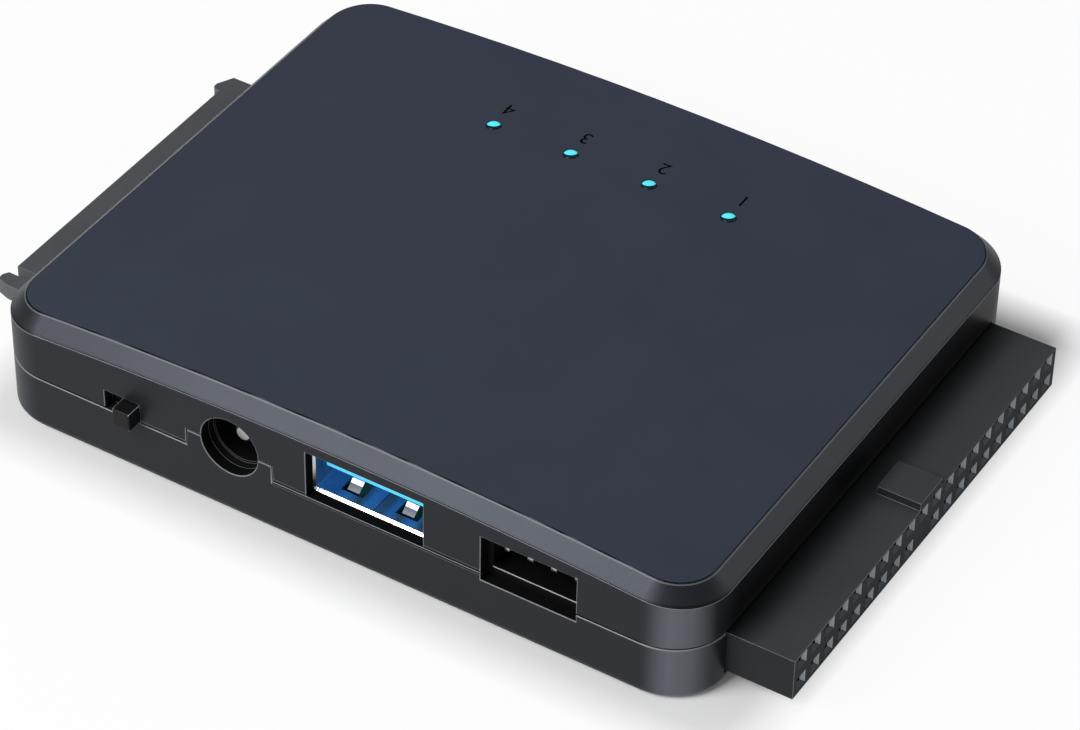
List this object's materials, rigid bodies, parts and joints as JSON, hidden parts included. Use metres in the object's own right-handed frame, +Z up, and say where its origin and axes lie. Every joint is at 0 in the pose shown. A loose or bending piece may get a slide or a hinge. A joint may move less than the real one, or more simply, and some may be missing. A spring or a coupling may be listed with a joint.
{
  "type": "usb to sata adapter",
  "caption": "Flat drive adapter box with a serial drive socket, two wide pin sockets, a computer port, a power inlet and outlet, status lights and a slide switch.",
  "frame": {"origin": "centre of the case's flat underside", "axes": "+X along the case to the 40-way socket, +Y to the back away from the small sockets, +Z up"},
  "size_m": [0.0918, 0.0694, 0.0145],
  "materials": {
    "case_plastic": "fine grained dark moulding",
    "screw_steel": "dark zinc",
    "drive_socket_plastic": "smooth black moulding",
    "serial_socket_plastic": "smooth dark moulding",
    "gold_contact": "gold flash",
    "port_steel": "bright nickel",
    "port_blue": "blue moulding",
    "inlet_plastic": "black moulding",
    "tin_contact": "tin plate",
    "switch_steel": "bright nickel",
    "switch_plastic": "brown laminate",
    "knob_plastic": "black moulding",
    "outlet_plastic": "black moulding",
    "light_clear": "clear, lit cyan",
    "lamp_white": "white package",
    "board_green": "green solder mask",
    "chip_black": "black epoxy",
    "can_steel": "bright can",
    "ferrite": "grey ferrite",
    "can_aluminium": "bright can",
    "resistor_dark": "black film"
  },
  "bodies": {
    "case": {"top_cover": "case_plastic", "bottom_cover": "case_plastic", "case_screws": "screw_steel", "ide40_socket": "drive_socket_plastic", "ide40_contacts": "gold_contact", "ide44_socket": "drive_socket_plastic", "ide44_contacts": "gold_contact", "sata_socket": "serial_socket_plastic", "sata_data_contacts": "gold_contact", "sata_power_contacts": "gold_contact", "usb_shell": "port_steel", "usb_insulator": "port_blue", "usb_contacts": "gold_contact", "power_inlet": "inlet_plastic", "inlet_centre_pin": "tin_contact", "inlet_spring_contact": "tin_contact", "switch_frame": "switch_steel", "switch_base": "switch_plastic", "switch_terminals": "tin_contact", "power_outlet": "outlet_plastic", "outlet_pins": "tin_contact", "light_pipe": "light_clear", "status_lamps": "lamp_white", "circuit_board": "board_green", "bridge_chip": "chip_black", "port_chip": "chip_black", "memory_chip": "chip_black", "clock_crystal": "can_steel", "power_coil": "ferrite", "voltage_regulator": "chip_black", "filter_capacitors": "can_aluminium", "chip_resistors": "resistor_dark"},
    "slider": {"switch_knob": "knob_plastic", "switch_wiper": "gold_contact"}
  },
  "joints": [
    {"name": "power_switch_slide", "type": "slide", "parent": "case", "child": "slider", "axis": [-1, 0, 0], "range_m": [0, 0.002]}
  ]
}
